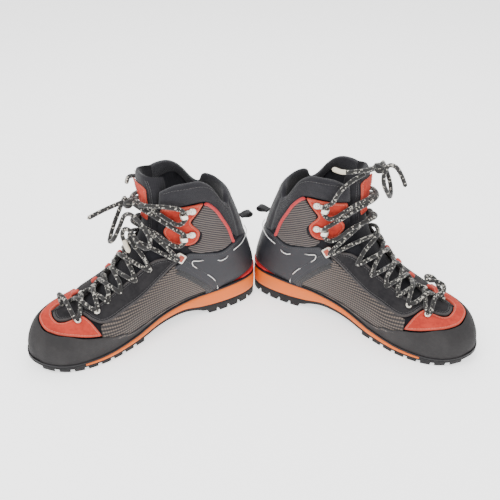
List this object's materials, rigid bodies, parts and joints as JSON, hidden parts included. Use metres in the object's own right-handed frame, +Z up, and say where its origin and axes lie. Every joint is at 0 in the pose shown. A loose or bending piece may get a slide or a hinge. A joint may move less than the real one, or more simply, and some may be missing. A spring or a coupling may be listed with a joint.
{
  "type": "mountaineering boots",
  "caption": "Pair of mid-height laced mountaineering boots with a rubber rand, lugged sole, padded collar and speed hooks, standing heel to heel.",
  "frame": {"origin": "on the floor, at the middle of the pair without the free lace ends", "axes": "+X from the right boot (toe at -X) to the left boot (toe at +X), +Y towards the heels, +Z up"},
  "size_m": [0.5296, 0.2122, 0.2249],
  "materials": {
    "sole_rubber": "matt black rubber",
    "orange_foam": "orange foam with a fine grain",
    "black_board": "satin black",
    "red_clip": "satin red",
    "footbed_cloth": "matt woven cloth on felt",
    "lining_cloth": "matt knitted lining",
    "rand_rubber": "matt grey rubber",
    "red_suede": "suede with a short nap",
    "grey_suede": "worn suede",
    "slate_synthetic": "smooth matt synthetic",
    "collar_cloth": "padded stretch cloth",
    "webbing": "narrow woven tape",
    "check_cloth": "ripstop check",
    "stripe_cloth": "fine stripe weave",
    "silver_metal": "satin silver",
    "cable_steel": "coated cable",
    "lace_cord": "round braid with light flecks"
  },
  "bodies": {
    "right_boot": {"right_outsole": "sole_rubber", "right_midsole": "orange_foam", "right_sole_board": "black_board", "right_heel_clip": "red_clip", "right_insole": "footbed_cloth", "right_lining": "lining_cloth", "right_rand": "rand_rubber", "right_toe_overlay": "red_suede", "right_vamp": "grey_suede", "right_heel_counter": "slate_synthetic", "right_collar": "collar_cloth", "right_tongue": "collar_cloth", "right_tongue_patch": "red_suede", "right_side_panel_inner": "check_cloth", "right_ankle_panel_inner": "stripe_cloth", "right_ankle_overlay_inner": "red_suede", "right_link_inner": "silver_metal", "right_cable_inner": "cable_steel", "right_hook_inner_lower": "silver_metal", "right_hook_inner_upper": "silver_metal", "right_side_panel_outer": "check_cloth", "right_ankle_panel_outer": "stripe_cloth", "right_ankle_overlay_outer": "red_suede", "right_link_outer": "silver_metal", "right_cable_outer": "cable_steel", "right_hook_outer_lower": "silver_metal", "right_hook_outer_upper": "silver_metal", "right_lace_rows": "lace_cord", "right_lace_bow": "lace_cord"},
    "right_loop": {"right_pull_loop": "webbing"},
    "left_boot": {"left_outsole": "sole_rubber", "left_midsole": "orange_foam", "left_sole_board": "black_board", "left_heel_clip": "red_clip", "left_insole": "footbed_cloth", "left_lining": "lining_cloth", "left_rand": "rand_rubber", "left_toe_overlay": "red_suede", "left_vamp": "grey_suede", "left_heel_counter": "slate_synthetic", "left_collar": "collar_cloth", "left_tongue": "collar_cloth", "left_tongue_patch": "red_suede", "left_side_panel_inner": "check_cloth", "left_ankle_panel_inner": "stripe_cloth", "left_ankle_overlay_inner": "red_suede", "left_link_inner": "silver_metal", "left_cable_inner": "cable_steel", "left_hook_inner_lower": "silver_metal", "left_hook_inner_upper": "silver_metal", "left_side_panel_outer": "check_cloth", "left_ankle_panel_outer": "stripe_cloth", "left_ankle_overlay_outer": "red_suede", "left_link_outer": "silver_metal", "left_cable_outer": "cable_steel", "left_hook_outer_lower": "silver_metal", "left_hook_outer_upper": "silver_metal", "left_lace_rows": "lace_cord", "left_lace_bow": "lace_cord"},
    "left_loop": {"left_pull_loop": "webbing"}
  },
  "joints": [
    {"name": "boots_apart", "type": "slide", "parent": "right_boot", "child": "left_boot", "axis": [1, 0, 0], "range_m": [0, 0.3]},
    {"name": "right_loop_swing", "type": "hinge", "parent": "right_boot", "child": "right_loop", "pos_m": [-0.01885, 0.06697, 0.12073], "axis": [0.5075, -0.8616, 0], "range_deg": [-40, 50]},
    {"name": "left_loop_swing", "type": "hinge", "parent": "left_boot", "child": "left_loop", "pos_m": [0.01885, 0.08217, 0.12073], "axis": [0.5075, 0.8616, 0], "range_deg": [-40, 50]}
  ]
}
